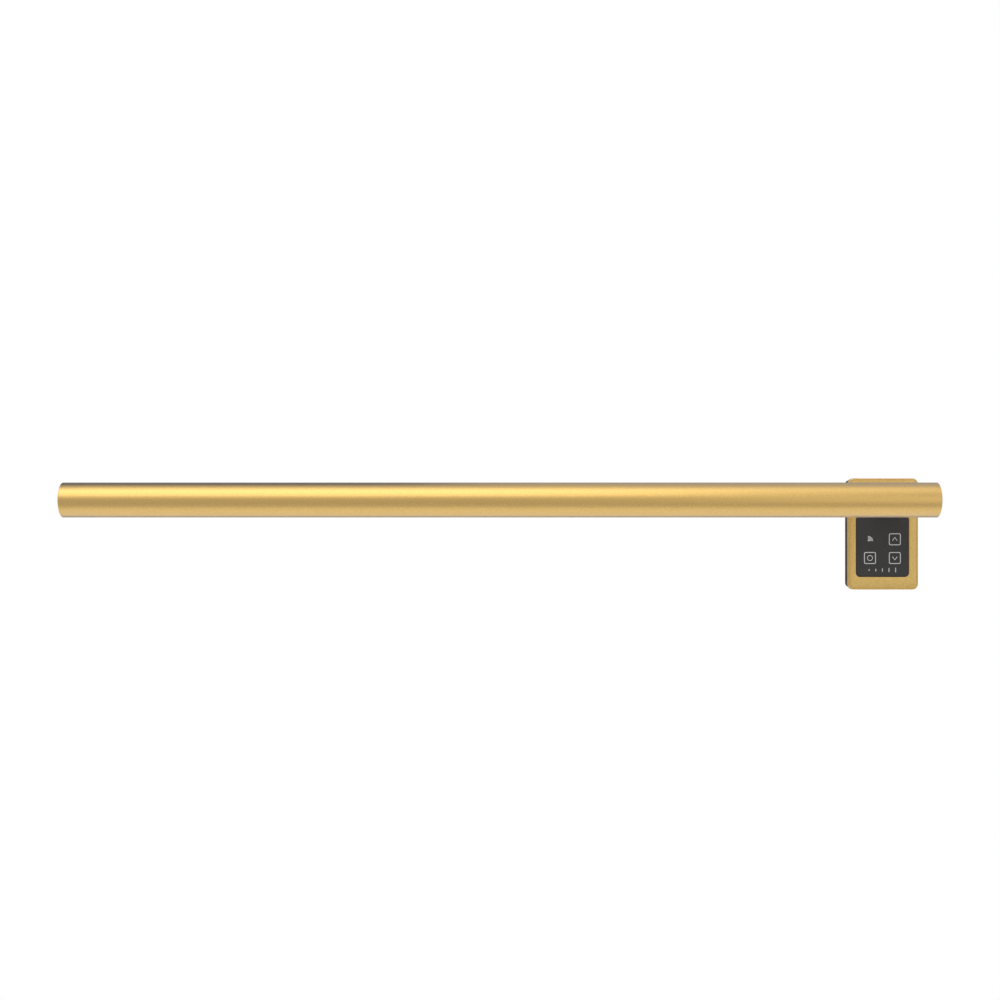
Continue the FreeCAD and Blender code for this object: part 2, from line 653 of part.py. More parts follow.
def wall_plate():
    """The plate that the control box slides over. It's screwed to the wall first."""
    plate = box_outline(HOUSING_INSET + HOUSING_WALL + SKIRT_GAP, -PLATE_THICKNESS, 0)
    sink_radius, sink_depth = PLATE_SINK
    for x, z in [(POST_X, 0), *lower_screw_places()]:
        plate = plate.cut(along_wall(WALL_SCREW_RADIUS, x, z, -PLATE_THICKNESS, 0))
        sink = Part.makeCone(sink_radius, WALL_SCREW_RADIUS, sink_depth, V(x, -PLATE_THICKNESS, z), Y_AXIS)
        plate = plate.cut(sink)
    plate = plate.cut(along_wall(INLET_PLATE_HOLE, POST_X, INLET_Z, -PLATE_THICKNESS, 0))
    bottom = BOX_BOTTOM + HOUSING_INSET + HOUSING_WALL
    for x in lock_places():
        plate = plate.fuse(lock_lug(x, 0))
        plate = plate.cut(rod(LOCK_RADIUS + THREAD_GAP, V(x, LOCK_Y, bottom), Z_AXIS, LUG_HEIGHT + 1))
    return plate.removeSplitter()


def lock_screws():
    """Two screws from below that lock the box onto the wall plate's lugs."""
    head_radius, head_height = LOCK_HEAD
    socket_radius, socket_depth = LOCK_SOCKET
    screws = []
    for x in lock_places():
        start = V(x, LOCK_Y, BOX_BOTTOM + HOUSING_INSET - head_height)
        made = rod(head_radius, start, Z_AXIS, head_height).fuse(rod(LOCK_RADIUS, start, Z_AXIS, LOCK_LENGTH))
        screws.append(made.cut(rod(socket_radius, start, Z_AXIS, socket_depth)))
    return screws


# ---------------------------------------------------------------- control box


def rear_housing():
    """A black tray with a skirt and a floor, raised over the nut plate, the screw heads and the lock lugs."""
    housing = box_outline(HOUSING_INSET, RIM_Y, -WALL_GAP)
    inside = HOUSING_INSET + HOUSING_WALL
    housing = housing.cut(box_outline(inside, RIM_Y, FLOOR_Y))
    housing = housing.cut(box_outline(inside, FLOOR_BACK_Y, -WALL_GAP))
    pad = flange_outline(FLANGE_PAD_MARGIN, FLANGE_Y, FLOOR_Y)
    pocket = flange_outline(-FLANGE_POCKET_INSET, FLANGE_Y + HOUSING_FLOOR, FLOOR_BACK_Y)
    housing = housing.fuse(pad.common(box_outline(inside, FLANGE_Y, FLOOR_Y))).cut(pocket)
    housing = housing.cut(along_wall(CLEAR_HOLE, POST_X, 0, FLANGE_Y, FLOOR_BACK_Y))
    for x, z in flange_screw_places():
        housing = housing.cut(along_wall(FLANGE_SCREW_RADIUS + SCREW_GAP, x, z, FLANGE_Y, FLOOR_BACK_Y))
    for x, z in pillar_places():
        raised = FLOOR_Y - HEAD_RECESS
        housing = housing.fuse(along_wall(PILLAR_RADIUS + PILLAR_WALL, x, z, raised, FLOOR_Y))
        housing = housing.cut(along_wall(PILLAR_RADIUS, x, z, FLOOR_BACK_Y - HEAD_RECESS, FLOOR_BACK_Y))
        housing = housing.cut(along_wall(COVER_SCREW_RADIUS + SCREW_GAP, x, z, raised, FLOOR_BACK_Y))
    for x in lock_places():
        room = lock_lug(x, LUG_POCKET_WALL + LUG_GAP)
        housing = housing.fuse(room.common(box_outline(inside - 0.5, RIM_Y, FLOOR_Y)))
        housing = housing.cut(lock_lug(x, LUG_GAP))
        hole = rod(LOCK_RADIUS + SCREW_GAP, V(x, LOCK_Y, BOX_BOTTOM), Z_AXIS, inside + 1)
        housing = housing.cut(hole)
    for x, z in board_screw_places():
        housing = housing.fuse(along_wall(BOARD_POST_RADIUS, x, z, BOARD_BACK_Y, FLOOR_Y))
        housing = housing.cut(along_wall(BOARD_SCREW_RADIUS + THREAD_GAP, x, z, BOARD_BACK_Y, FLOOR_Y))
    housing = housing.cut(along_wall(INLET_HOLE, POST_X, INLET_Z, FLOOR_Y, FLOOR_BACK_Y))
    return housing.cut(cover_gasket()).removeSplitter()


def cover_gasket():
    """A flat rubber ring, sunk in the housing's rim."""
    outer_inset = HOUSING_INSET + GASKET_INSET
    outer = box_outline(outer_inset, RIM_Y, RIM_Y + GASKET_DEPTH)
    return outer.cut(box_outline(outer_inset + GASKET_WIDTH, RIM_Y, RIM_Y + GASKET_DEPTH))


def inlet_grommet():
    """A rubber bush, split-lipped over the housing floor, for the supply cable from the wall."""
    front, back = FLOOR_Y - INLET_FLANGE, FLOOR_BACK_Y + INLET_FLANGE
    bush = along_wall(INLET_HOLE - INLET_SQUEEZE, POST_X, INLET_Z, FLOOR_Y, FLOOR_BACK_Y)
    bush = bush.fuse(along_wall(INLET_LIP, POST_X, INLET_Z, front, FLOOR_Y))
    bush = bush.fuse(along_wall(INLET_LIP, POST_X, INLET_Z, FLOOR_BACK_Y, back))
    return bush.cut(along_wall(INLET_BORE, POST_X, INLET_Z, front, back))


def front_cover():
    """The gold cover: a rounded face with the panel's seat, the post's hole and four screw pillars behind."""
    cover = box_outline(0, FACE_Y, RIM_Y)
    cover = cover.makeFillet(COVER_ROUNDING, edges_on_plane(cover, FACE_Y))
    groove = box_outline(COVER_GROOVE_INSET, FACE_Y, FACE_Y + COVER_GROOVE_DEPTH)
    island = box_outline(COVER_GROOVE_INSET + COVER_GROOVE_WIDTH, FACE_Y, FACE_Y + COVER_GROOVE_DEPTH)
    cover = cover.cut(groove.cut(island))
    cover = cover.cut(box_outline(HOUSING_INSET + HOUSING_WALL + FIT_GAP, COVER_BACK_Y, RIM_Y))
    cover = cover.fuse(panel_outline(LEDGE_WIDTH, COVER_BACK_Y, LEDGE_BACK_Y))
    cover = cover.cut(panel_outline(PANEL_GAP, FACE_Y, LEDGE_Y))
    cover = cover.cut(panel_outline(-LEDGE_WIDTH, LEDGE_Y, LEDGE_BACK_Y))
    cover = cover.cut(along_wall(POST_RADIUS + FIT_GAP, POST_X, 0, FACE_Y, LEDGE_BACK_Y))
    foot = FLOOR_Y - HEAD_RECESS
    for x, z in pillar_places():
        cover = cover.fuse(along_wall(PILLAR_RADIUS, x, z, COVER_BACK_Y, foot))
        cover = cover.cut(along_wall(COVER_SCREW_RADIUS + THREAD_GAP, x, z, LEDGE_BACK_Y, foot))
    return cover.removeSplitter()


def post_seal():
    """A soft ring around the post, under the cover."""
    seal = tube(POST_RADIUS + SEAL_WIDTH, POST_RADIUS, V(POST_X, COVER_BACK_Y, 0), Y_AXIS, SEAL_DEPTH)
    return seal.cut(panel_outline(LEDGE_WIDTH + PANEL_GAP, COVER_BACK_Y, LEDGE_BACK_Y))


def cover_screws():
    seat = FLOOR_BACK_Y - HEAD_RECESS
    made = [(COVER_SCREW_HEAD, COVER_SCREW_RADIUS, COVER_SCREW_LENGTH, x, z) for x, z in pillar_places()]
    return [screw(*sizes, seat, -1) for sizes in made]


def touch_panel():
    return panel_outline(0, PANEL_Y, PANEL_BACK_Y)


def panel_tape():
    return panel_outline(0, PANEL_BACK_Y, LEDGE_Y).cut(panel_outline(-LEDGE_WIDTH, PANEL_BACK_Y, LEDGE_Y))


# ---------------------------------------------------------------- printed marks


def printed(radius, x, z):
    return along_wall(radius, x, z, PANEL_Y - PRINT, PANEL_Y)


def print_plate(x, z, width, height, corner):
    return rounded_plate(
        x - width / 2, x + width / 2, z - height / 2, z + height / 2, corner, PANEL_Y - PRINT, PANEL_Y
    )


def stroke(x0, z0, x1, z1):
    """A round-ended line of print."""
    length = math.hypot(x1 - x0, z1 - z0)
    bar = block(0, length, PANEL_Y - PRINT, PANEL_Y, -SIGN_LINE / 2, SIGN_LINE / 2)
    bar.rotate(V(0, 0, 0), Y_AXIS, -math.degrees(math.atan2(z1 - z0, x1 - x0)))
    bar.translate(V(x0, 0, z0))
    return bar.fuse(printed(SIGN_LINE / 2, x0, z0)).fuse(printed(SIGN_LINE / 2, x1, z1))


def key_mark(x, z):
    outer = print_plate(x, z, KEY_SIZE, KEY_SIZE, KEY_CORNER)
    inner = KEY_SIZE - 2 * LINE
    return outer.cut(print_plate(x, z, inner, inner, KEY_CORNER - LINE))


def chevron(x, z, way):
    """An arrow head: way is 1 for up and -1 for down."""
    tip, foot = z + way * CHEVRON_TIP, z - way * CHEVRON_FOOT
    rising, falling = stroke(x - CHEVRON_HALF, foot, x, tip), stroke(x, tip, x + CHEVRON_HALF, foot)
    return rising.fuse(falling).removeSplitter()


def ring_mark(x, z, radius, line):
    return printed(radius + line / 2, x, z).cut(printed(radius - line / 2, x, z))


def link_mark():
    """The wireless sign: a dot in the corner of three quarter rings."""
    x, z = LINK_X - LINK_CORNER, LINK_Z - LINK_CORNER
    reach = 2 * max(LINK_ARCS)
    quarter = block(x, x + reach, PANEL_Y - 1, PANEL_Y + 1, z, z + reach)
    rings = [ring_mark(x, z, radius, LINK_LINE).common(quarter) for radius in LINK_ARCS]
    return [printed(LINK_DOT, LINK_X, LINK_Z), *rings]


def level_xs():
    """The five levels, left to right."""
    return [KEYS_X + (i - (LEVELS - 1) / 2) * LEVEL_PITCH for i in range(LEVELS)]


def level_marks():
    marks = []
    for i, x in enumerate(level_xs()):
        marks.append(print_plate(x, LEVEL_Z, LEVEL_WIDTH, LEVEL_SHORTEST + i * LEVEL_STEP, LEVEL_CORNER))
    return marks


def panel_print():
    keys = [key_mark(x, z) for x, z in KEY_PLACES]
    signs = [
        ring_mark(LEFT_KEYS_X, LOW_KEYS_Z, RING_RADIUS, SIGN_LINE),
        chevron(RIGHT_KEYS_X, LOW_KEYS_Z, -1),
        chevron(RIGHT_KEYS_X, HIGH_KEYS_Z, 1),
    ]
    return keys + signs + link_mark() + level_marks()


# ---------------------------------------------------------------- electronics


def control_board():
    left, right = board_edges()
    board = block(left, right, BOARD_Y, BOARD_BACK_Y, BOARD_BOTTOM, BOARD_TOP)
    for x, z in board_screw_places():
        board = board.cut(along_wall(BOARD_SCREW_RADIUS + SCREW_GAP, x, z, BOARD_Y, BOARD_BACK_Y))
    return board


def board_screws():
    made = [(BOARD_SCREW_HEAD, BOARD_SCREW_RADIUS, BOARD_SCREW_LENGTH, x, z) for x, z in board_screw_places()]
    return [screw(*sizes, BOARD_Y, 1) for sizes in made]


def on_front(x, z, width, height, thick):
    """A block that stands on the board's room side."""
    return block(x - width / 2, x + width / 2, BOARD_Y - thick, BOARD_Y, z - height / 2, z + height / 2)


def on_back(x, z, width, height, thick):
    """A block that stands on the board's wall side."""
    back = BOARD_BACK_Y + thick
    return block(x - width / 2, x + width / 2, BOARD_BACK_Y, back, z - height / 2, z + height / 2)


def touch_pads():
    """Conducting foam pads that carry each touch key's signal from the panel to the board."""
    length = BOARD_Y - PANEL_BACK_Y
    return [tube(PAD_RADIUS, PAD_HOLE, V(x, PANEL_BACK_Y, z), Y_AXIS, length) for x, z in KEY_PLACES]


def link_lamp_place():
    return LINK_X + LINK_LAMP, LINK_Z + LINK_LAMP


def indicator_lights():
    places = [(x, LEVEL_Z) for x in level_xs()] + [link_lamp_place()]
    return [on_front(x, z, *LAMP_SIZE) for x, z in places]


def light_guide():
    """White light wells between the lamps and the panel: one for the levels and one for the wireless sign."""
    depth = BOARD_Y - PANEL_BACK_Y - WELL_GAP
    width, height = WELL_OPENING
    bar = on_front(KEYS_X, LEVEL_Z, (LEVELS - 1) * LEVEL_PITCH + WELL_MARGIN, WELL_HEIGHT, depth)
    for x in level_xs():
        bar = bar.cut(on_front(x, LEVEL_Z, width, height, depth))
    link_x, link_z = link_lamp_place()
    inside = LINK_WELL - 2 * WELL_WALL
    link = on_front(link_x, link_z, LINK_WELL, LINK_WELL, depth)
    return [bar, link.cut(on_front(link_x, link_z, inside, inside, depth))]


def radio_board():
    return on_front(RADIO_X, RADIO_Z, *RADIO_SIZE)


def radio_shield():
    """The pressed can over the radio, open underneath."""
    width, height, tall = SHIELD_SIZE
    stand = RADIO_SIZE[2]
    can = on_front(RADIO_X, SHIELD_Z, width, height, stand + tall)
    can = can.cut(on_front(RADIO_X, SHIELD_Z, width, height, stand))
    inside = (width - 2 * SHIELD_WALL, height - 2 * SHIELD_WALL, stand + tall - SHIELD_WALL)
    return can.cut(on_front(RADIO_X, SHIELD_Z, *inside))


def logic_chip():
    return on_front(KEYS_X, LOGIC_Z, *LOGIC_SIZE)


def terminal(x, z, ways, pitch, way_x, way_z):
    """A low screwless terminal block; its wire holes face along (way_x, way_z)."""
    long = ways * pitch + TERMINAL_ENDS
    width, height = (long, TERMINAL_SHORT) if way_z else (TERMINAL_SHORT, long)
    body = on_back(x, z, width, height, TERMINAL_TALL)
    inwards = V(-way_x, 0, -way_z)
    for i in range(ways):
        shift = (i - (ways - 1) / 2) * pitch
        mouth_x = x + way_x * TERMINAL_SHORT / 2 + abs(way_z) * shift
        mouth_z = z + way_z * TERMINAL_SHORT / 2 + abs(way_x) * shift
        body = body.cut(rod(LEAD_RADIUS + LEAD_GAP, V(mouth_x, TERMINAL_Y, mouth_z), inwards, TERMINAL_BITE))
    return body


def heater_terminal():
    return terminal(POST_X - LEAD_PITCH / 2, HEATER_TERMINAL_Z, 2, LEAD_PITCH, 0, 1)


def supply_terminal():
    return terminal(SUPPLY_TERMINAL_X, SUPPLY_TERMINAL_Z, 2, SUPPLY_PITCH, 1, 0)


def sensor_socket():
    x = POST_X + LEAD_PITCH
    body = on_back(x, TERMINAL_Z - SOCKET_SIZE[1] / 2, *SOCKET_SIZE)
    return body.cut(rod(SENSOR_LEAD_RADIUS + THREAD_GAP, V(x, TERMINAL_Y, TERMINAL_Z), -Z_AXIS, SOCKET_BITE))


def power_transistors():
    shift, heights = TRANSISTOR_PLACES
    return [on_back(POST_X + shift, z, *TRANSISTOR_SIZE) for z in heights]


def choke():
    shift, z = CHOKE_PLACE
    body = on_back(POST_X + shift, z, *CHOKE_SIZE)
    uprights = [e for e in body.Edges if abs(e.Vertexes[0].Y - e.Vertexes[1].Y) > 1]
    return body.makeChamfer(CHOKE_CHAMFER, uprights)


def capacitors():
    radius, height = CAPACITOR_SIZE
    shift, heights = CAPACITOR_PLACES
    return [along_wall(radius, POST_X + shift, z, BOARD_BACK_Y, BOARD_BACK_Y + height) for z in heights]


def board_fuse():
    shift, z = BOARD_FUSE_PLACE
    return on_back(POST_X + shift, z, *BOARD_FUSE_SIZE)


# ---------------------------------------------------------------- leads


def routed(points, radius, bends):
    """A round lead along points, with an arc of each given radius at the points between the ends."""
    edges = []
    start = points[0]
    for before, corner, after, bend in zip(points, points[1:], points[2:], bends):
        back, ahead = (before - corner).normalize(), (after - corner).normalize()
        half = back.getAngle(ahead) / 2
        cut_back = bend / math.tan(half)
        first, last = corner + back * cut_back, corner + ahead * cut_back
        bisector = (back + ahead).normalize()
        middle = corner + bisector * (bend / math.sin(half) - bend)
        edges.append(Part.LineSegment(start, first).toShape())
        edges.append(Part.Arc(first, middle, last).toShape())
        start = last
    edges.append(Part.LineSegment(start, points[-1]).toShape())
    path = Part.Wire(edges)
    direction = (points[1] - points[0]).normalize()
    section = Part.Wire(Part.makeCircle(radius, points[0], direction))
    lead = path.makePipeShell([section], True, True)
    share = lead.Volume / (math.pi * radius**2 * path.Length)
    print(f"lead: {path.Length:.1f} mm, volume {share:.4f} of section times length, bends {bends}")
    return lead


def lead_route(column, in_bar_x, z, drop_x):
    """From the shared bend in the bar, along the post's bore, out of its window and down to the board."""
    return [
        V(in_bar_x, column, z),
        V(in_bar_x, -40, z),
        V(drop_x, -26, z),
        V(drop_x, LEAD_DROP_Y, z),
        V(drop_x, LEAD_DROP_Y, -19.8),
        V(drop_x, TERMINAL_Y, -23.4),
        V(drop_x, TERMINAL_Y, TERMINAL_Z - 2.5),
    ]


def heater_leads(side):
    """One heater lead. side is -1 for the outer one, which has the thermal fuse, and 1 for the inner one."""
    y = BAR_Y + side * PIN_SPACING / 2
    bar_x = POST_X - side * PIN_SPACING / 2
    drop_x = POST_X if side < 0 else POST_X - LEAD_PITCH
    route = lead_route(y, bar_x, 0.0, drop_x)
    start = ELEMENT_RIGHT + PIN_OUTSIDE
    bends = [LEAD_BEND_Y - y, *LEAD_BENDS]
    if side > 0:
        return [routed([V(start, y, 0), *route], LEAD_RADIUS, bends)]
    short = rod(LEAD_RADIUS, V(start, y, 0), X_AXIS, FUSE_LEFT - start)
    return [short, routed([V(FUSE_RIGHT, y, 0), *route], LEAD_RADIUS, bends)]


def sensor_lead():
    """From the sensor at the bottom of the tube up to the bar's middle, and on beside the heater leads."""
    z = -2.6
    start = [V(SENSOR_RIGHT, BAR_Y, SENSOR_Z), V(348.5, BAR_Y, SENSOR_Z), V(355, BAR_Y, z)]
    bends = [3.5, 3.5, LEAD_BEND_Y - BAR_Y, *LEAD_BENDS]
    return routed(start + lead_route(BAR_Y, POST_X, z, POST_X + LEAD_PITCH), SENSOR_LEAD_RADIUS, bends)


def lead_sleeve():
    """The insulating sleeve that lines the hollow bolt."""
    outer = HOLLOW_BOLT_BORE - SLEEVE_SLACK
    return tube(outer, outer - SLEEVE_WALL, V(POST_X, LEAD_BEND_Y + SLEEVE_SLACK, 0), Y_AXIS, SLEEVE_LENGTH)


PARTS = {
    "bar_tube": bar_tube,
    "left_end_cap": lambda: end_cap(-1),
    "right_end_cap": lambda: end_cap(1),
    "end_cap_rings": end_cap_rings,
    "element_sheath": element_sheath,
    "element_core": element_core,
    "element_bush": element_bush,
    "element_pins": element_pins,
    "element_spacers": element_spacers,
    "lead_crimps": lead_crimps,
    "temperature_sensor": temperature_sensor,
    "sensor_pad": sensor_pad,
    "thermal_fuse": thermal_fuse,
    "left_saddle_nut": lambda: saddle_nut(-POST_X, LEFT_BOLT_RADIUS, NUT_HALF_LENGTH),
    "right_saddle_nut": lambda: saddle_nut(POST_X, HOLLOW_BOLT_RADIUS, NUT_HALF_LENGTH + 2),
    "left_bar_bolt": left_bar_bolt,
    "hollow_bar_bolt": hollow_bar_bolt,
    "left_post": left_post,
    "right_post": right_post,
    "left_wall_boss": left_wall_boss,
    "left_grub_screw": left_grub_screw,
    "post_flange": post_flange,
    "flange_screws": flange_screws,
    "nut_plate": nut_plate,
    "wall_plate": wall_plate,
    "lock_screws": lock_screws,
    "rear_housing": rear_housing,
    "cover_gasket": cover_gasket,
    "inlet_grommet": inlet_grommet,
    "front_cover": front_cover,
    "post_seal": post_seal,
    "cover_screws": cover_screws,
    "touch_panel": touch_panel,
    "panel_tape": panel_tape,
    "panel_print": panel_print,
    "control_board": control_board,
    "board_screws": board_screws,
    "touch_pads": touch_pads,
    "indicator_lights": indicator_lights,
    "light_guide": light_guide,
    "radio_board": radio_board,
    "radio_shield": radio_shield,
    "logic_chip": logic_chip,
    "heater_terminal": heater_terminal,
    "supply_terminal": supply_terminal,
    "sensor_socket": sensor_socket,
    "power_transistors": power_transistors,
    "choke": choke,
    "capacitors": capacitors,
    "board_fuse": board_fuse,
    "heater_lead_fused": lambda: heater_leads(-1),
    "heater_lead_return": lambda: heater_leads(1),
    "sensor_lead": sensor_lead,
    "lead_sleeve": lead_sleeve,
}


def main():
    os.makedirs("parts", exist_ok=True)
    for name, make in PARTS.items():
        made = make()
        solids = made if isinstance(made, list) else [made]
        shape = Part.makeCompound([s for piece in solids for s in piece.Solids])
        if not shape.Solids or not shape.isValid():
            raise ValueError(f"{name} is not valid")
        shape.exportStep(f"parts/{name}.step")


main()
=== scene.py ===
"""A wall-hung heated towel bar: a satin gold tube on two posts, with a slim touch controller behind its
right end.

Everything is in metres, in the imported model's own frame: +X right, +Y into the wall, +Z up.
"""

import json
import math

import bmesh
import bpy
from mathutils import Matrix, Vector


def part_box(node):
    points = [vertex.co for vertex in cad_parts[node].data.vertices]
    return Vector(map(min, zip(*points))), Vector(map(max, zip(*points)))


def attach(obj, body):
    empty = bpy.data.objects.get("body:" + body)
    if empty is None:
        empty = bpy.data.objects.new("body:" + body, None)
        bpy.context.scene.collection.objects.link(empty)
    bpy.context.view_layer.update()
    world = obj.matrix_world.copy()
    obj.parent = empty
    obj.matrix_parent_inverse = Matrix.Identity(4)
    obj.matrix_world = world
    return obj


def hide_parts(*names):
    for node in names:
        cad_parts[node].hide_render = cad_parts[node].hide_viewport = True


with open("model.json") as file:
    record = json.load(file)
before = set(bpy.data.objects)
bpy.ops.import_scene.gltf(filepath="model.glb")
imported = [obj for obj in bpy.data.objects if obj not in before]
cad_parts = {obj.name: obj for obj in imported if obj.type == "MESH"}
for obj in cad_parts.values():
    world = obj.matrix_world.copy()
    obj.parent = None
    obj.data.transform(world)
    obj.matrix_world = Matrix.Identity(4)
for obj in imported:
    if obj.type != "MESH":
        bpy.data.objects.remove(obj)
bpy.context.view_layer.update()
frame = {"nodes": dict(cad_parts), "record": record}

MM = 0.001

# ---------------------------------------------------------------- places and sizes

# The tube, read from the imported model, with its wall and the rounding of its cut ends
bar_low, bar_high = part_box("bar_tube")
BAR_LEFT, BAR_RIGHT = bar_low.x, bar_high.x
BAR_RADIUS = (bar_high.z - bar_low.z) / 2
BAR_AXIS = Vector((0, (bar_low.y + bar_high.y) / 2, (bar_low.z + bar_high.z) / 2))
BAR_WALL = 1.2 * MM
RIM_ROUNDING = 0.6 * MM
RIM_CHAMFER = 0.15 * MM

# The end caps: a chamfered rim round a shallow turned dish
CAP_CHAMFER = 0.35 * MM
CAP_BACK_INSET = 3 * MM
DISH_DEPTH = 0.12 * MM
DISH_RADIUS = 12 * MM
DISH_RINGS = [radius * MM for radius in (13.6, 12, 9, 6, 3, 0)]

# The posts between the bar and the wall
left_post_low, left_post_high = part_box("left_post")
right_post_low, right_post_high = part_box("right_post")
POST_RADIUS = (left_post_high.x - left_post_low.x) / 2
POST_BORE = 9.5 * MM
POST_NOSE_EDGE = 0.25 * MM
POST_FOOT_ROUNDING = 0.4 * MM
POST_BORE_CHAMFER = 0.2 * MM
SADDLE_GAP = 0.05 * MM

# The control box's cover
cover_low, cover_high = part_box("front_cover")
COVER_FACE_Y = cover_low.y
COVER_RIM_Y = COVER_FACE_Y + 4.5 * MM
COVER_CORNER = 5.5 * MM
COVER_WALL = 3.7 * MM
COVER_THICKNESS = 2.2 * MM
COVER_RIM_BREAK = 0.1 * MM
COVER_ROUNDING = 1.1 * MM
GROOVE_WIDTH = 0.9 * MM
GROOVE_DEPTH = 0.6 * MM
GROOVE_SLOPE = 0.2 * GROOVE_WIDTH
GROOVE_LIP_DEPTH = 0.03 * MM
GROOVE_LIP_WIDTH = 0.1 * MM
OPENING_ROUNDING = 0.2 * MM
POST_HOLE_GAP = 0.2 * MM

# The touch panel and the seat that it lies on
panel_low, panel_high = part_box("touch_panel")
PANEL_CORNER = 4.2 * MM
PANEL_GAP = 0.1 * MM
PANEL_EDGE = 0.25 * MM
SEAT_GAP = 0.2 * MM
SEAT_WIDTH = 2 * MM
SEAT_THICKNESS = 1.2 * MM

# How far, in millimetres, the visible edges of carried-over CAD nodes are rounded
ROUNDED_NODES = {"rear_housing": 0.4, "wall_plate": 0.15, "inlet_grommet": 0.3}

# The studio: a floor well below the bar, and a camera square to the wall
FLOOR_Z = -0.9
FLOOR_HALF_WIDTH = 2.4
FLOOR_HALF_DEPTH = 1.1
FLOOR_FADE_START = 0.55
FLOOR_GLOW = 0.25
CAMERA_DISTANCE = 1.2709

# Brightness of the studio surround by elevation in degrees: 0 is level with the room, 90 is overhead, and
# 180 is behind the wall
SURROUND = (
    (-180, 0.27),
    (-150, 0.13),
    (-135, 0.28),
    (-118, 0.68),
    (-80, 0.89),
    (-50, 0.53),
    (-25, 0.47),
    (0, 0.48),
    (28, 0.50),
    (45, 0.68),
    (75, 1.00),
    (90, 0.87),
    (105, 0.31),
    (120, 0.00),
    (160, 0.00),
    (180, 0.27),
)


# ---------------------------------------------------------------- colour and nodes


def linear(hex_colour):
    """An sRGB hex colour, such as "c9a864", as linear RGBA."""
    channels = [int(hex_colour[i : i + 2], 16) / 255 for i in (0, 2, 4)]
    curve = [c / 12.92 if c <= 0.04045 else ((c + 0.055) / 1.055) ** 2.4 for c in channels]
    return (*curve, 1.0)


def per_mm(size):
    """The scale of a pattern whose features are size millimetres across."""
    return 1 / (size * MM)


def fill(node, values):
    """Sets a node's inputs, each to a value or to another node's output."""
    for name, value in values.items():
        if isinstance(value, bpy.types.NodeSocket):
            node.id_data.links.new(value, node.inputs[name])
        else:
            node.inputs[name].default_value = value


def add(tree, kind, values, **settings):
    """Adds a shader node with its settings, values and links."""
    node = tree.nodes.new("ShaderNode" + kind)
    for name, value in settings.items():
        setattr(node, name, value)
    fill(node, values)
    return node


def start_material(name):
    """A new material with its shader and its pieces' own coordinates."""
    material = bpy.data.materials.new(name)
    material.use_nodes = True
    tree = material.node_tree
    where = add(tree, "TexCoord", {}).outputs["Object"]
    return material, tree, tree.nodes["Principled BSDF"], where


# ---------------------------------------------------------------- materials
# A Mix node's sockets 6 and 7 are its two colours, and its output 2 is the mixed one.


def satin_gold(name, tints, roughness, contrast):
    """Metal bead-blasted, then coated gold and lacquered: an even speckle, paler where light glances off it.

    The blasted pits are about 0.05 mm across, too fine to show. So the speckle is drawn 1 mm across, and the
    relief that softens highlights 0.35 mm across. A contrast of 0.5 runs it from the deep tint to the pale.
    """
    material, tree, shader, where = start_material(name)
    deep, pale, cloudy = (linear(tint) for tint in tints)
    speckle = {"Vector": where, "Scale": per_mm(1.0), "Detail": 1.0}
    pits = add(tree, "TexNoise", speckle).outputs["Fac"]
    clouds = {"Vector": where, "Scale": per_mm(38.0), "Detail": 3.0}
    cloud = add(tree, "TexNoise", clouds).outputs["Fac"]

    speckled = {"Value": pits, "To Min": 0.5 - contrast, "To Max": 0.5 + contrast}
    share = add(tree, "MapRange", speckled).outputs["Result"]
    coat = add(tree, "Mix", {"Factor": share, 6: deep, 7: pale}, data_type="RGBA").outputs[2]
    patch = add(tree, "MapRange", {"Value": cloud, "To Min": 0.0, "To Max": 0.16}).outputs["Result"]
    tint = add(tree, "Mix", {"Factor": patch, 6: coat, 7: cloudy}, data_type="RGBA").outputs[2]

    pitted = {"Value": pits, "To Min": roughness - 0.03, "To Max": roughness + 0.03}
    blasted = add(tree, "MapRange", pitted).outputs["Result"]
    handled = add(tree, "MapRange", {"Value": cloud, "To Min": -0.02, "To Max": 0.02}).outputs["Result"]
    uneven = add(tree, "Math", {0: blasted, 1: handled}, operation="ADD").outputs[0]

    relief = {"Vector": where, "Scale": per_mm(0.35), "Detail": 2.0}
    height = add(tree, "TexNoise", relief).outputs["Fac"]
    bump = add(tree, "Bump", {"Height": height, "Distance": 0.02 * MM, "Strength": 0.25})
    fill(shader, {"Base Color": tint, "Roughness": uneven, "Metallic": 1.0, "Normal": bump.outputs[0]})
    fill(shader, {"Coat Weight": 1.0, "Coat Roughness": 0.35, "Sheen Weight": 0.5, "Sheen Roughness": 0.6})
    return material


def spark_eroded_black():
    """ABS from a spark-eroded mould: dark grey, with a fine leathery grain that scatters its highlights."""
    material, tree, shader, where = start_material("spark-eroded black ABS")
    fine = {"Vector": where, "Scale": per_mm(0.5), "Detail": 3.0}
    grain = add(tree, "TexNoise", fine).outputs["Fac"]
    broad = {"Vector": where, "Scale": per_mm(14.0), "Detail": 2.0}
    patch = add(tree, "TexNoise", broad).outputs["Fac"]
    greys = {"Factor": patch, 6: linear("1b1a18"), 7: linear("262421")}
    tint = add(tree, "Mix", greys, data_type="RGBA").outputs[2]
    rough = add(tree, "MapRange", {"Value": grain, "To Min": 0.6, "To Max": 0.8}).outputs["Result"]
    bump = add(tree, "Bump", {"Height": grain, "Distance": 0.05 * MM, "Strength": 0.4})
    fill(shader, {"Base Color": tint, "Roughness": rough, "Normal": bump.outputs[0]})
    fill(shader, {"IOR": 1.53, "Specular IOR Level": 0.2})
    return material


